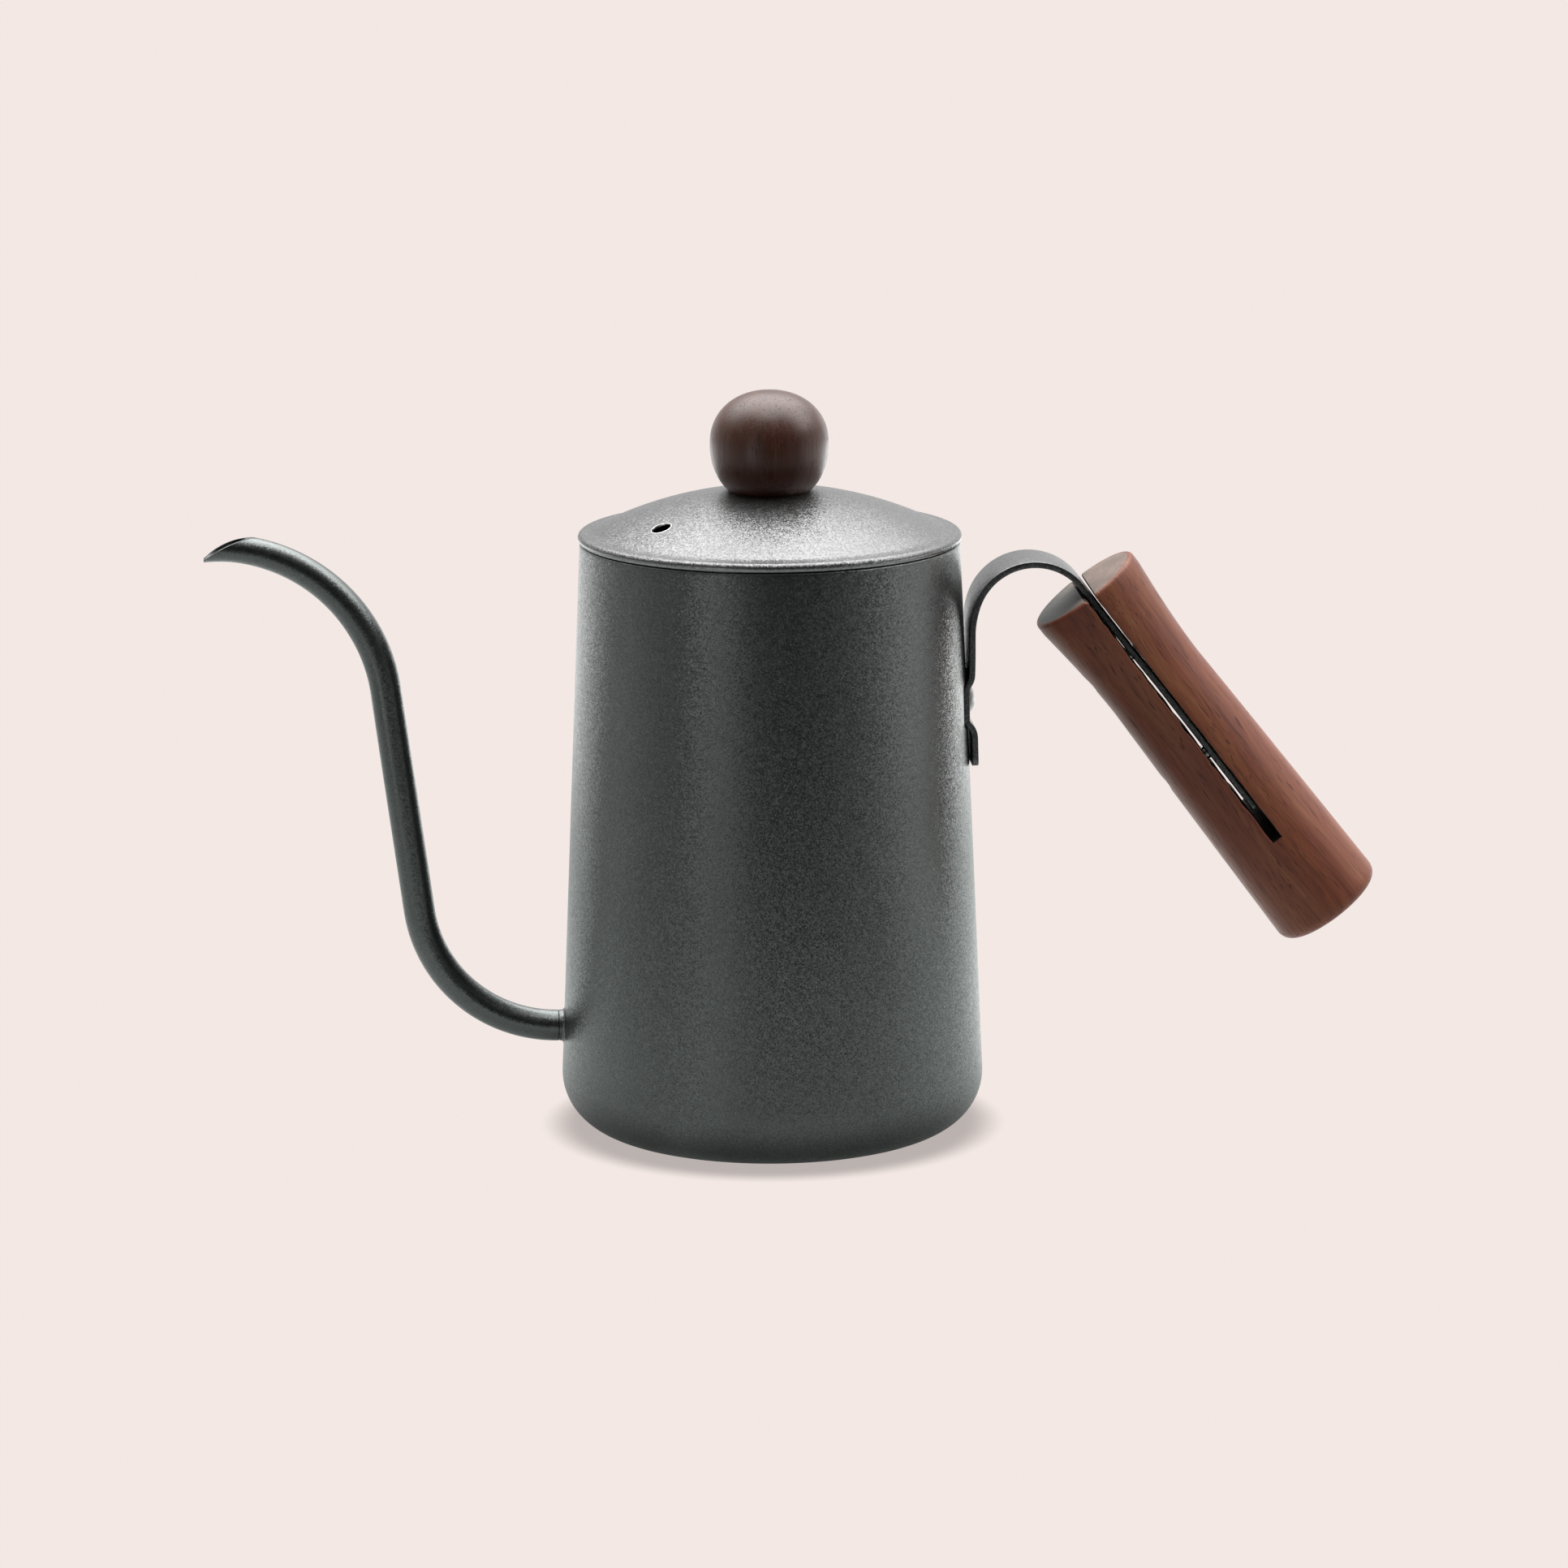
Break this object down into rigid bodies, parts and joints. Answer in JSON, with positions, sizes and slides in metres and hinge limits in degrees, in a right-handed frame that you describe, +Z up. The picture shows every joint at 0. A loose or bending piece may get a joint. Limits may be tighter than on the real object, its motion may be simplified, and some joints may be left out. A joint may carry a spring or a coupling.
{
  "type": "gooseneck pour-over kettle",
  "caption": "Tapered steel pour-over kettle with a thin gooseneck spout, a strap handle with a turned wooden grip, and a domed lift-off lid with a wooden knob.",
  "frame": {"origin": "centre of the base, on the table plane, under the axis of the body", "axes": "+Z up along the body axis; the spout points toward -X and the handle toward +X, both in the plane Y = 0"},
  "size_m": [0.255, 0.0926, 0.1628],
  "materials": {
    "coated_steel": "satin metallic grey coating with a fine sparkle",
    "coated_strap": "satin metallic grey coating",
    "coated_lid": "satin metallic grey coating with a fine sparkle",
    "bright_steel": "bright stainless steel",
    "walnut": "oiled walnut with open pores",
    "brass_insert": "turned brass"
  },
  "bodies": {
    "pot": {"body_shell": "coated_steel", "spout_tube": "coated_steel", "handle_boss": "bright_steel", "handle_strap": "coated_strap", "handle_screw": "bright_steel", "handle_grip": "walnut", "grip_screws": "bright_steel"},
    "lid": {"lid_shell": "coated_lid", "lid_skirt": "coated_lid", "lid_knob": "walnut", "knob_screw": "bright_steel", "knob_washer": "bright_steel", "knob_insert": "brass_insert"}
  },
  "joints": [
    {"name": "lid_lift", "type": "slide", "parent": "pot", "child": "lid", "axis": [0, 0, 1], "range_m": [0, 0.06]}
  ]
}
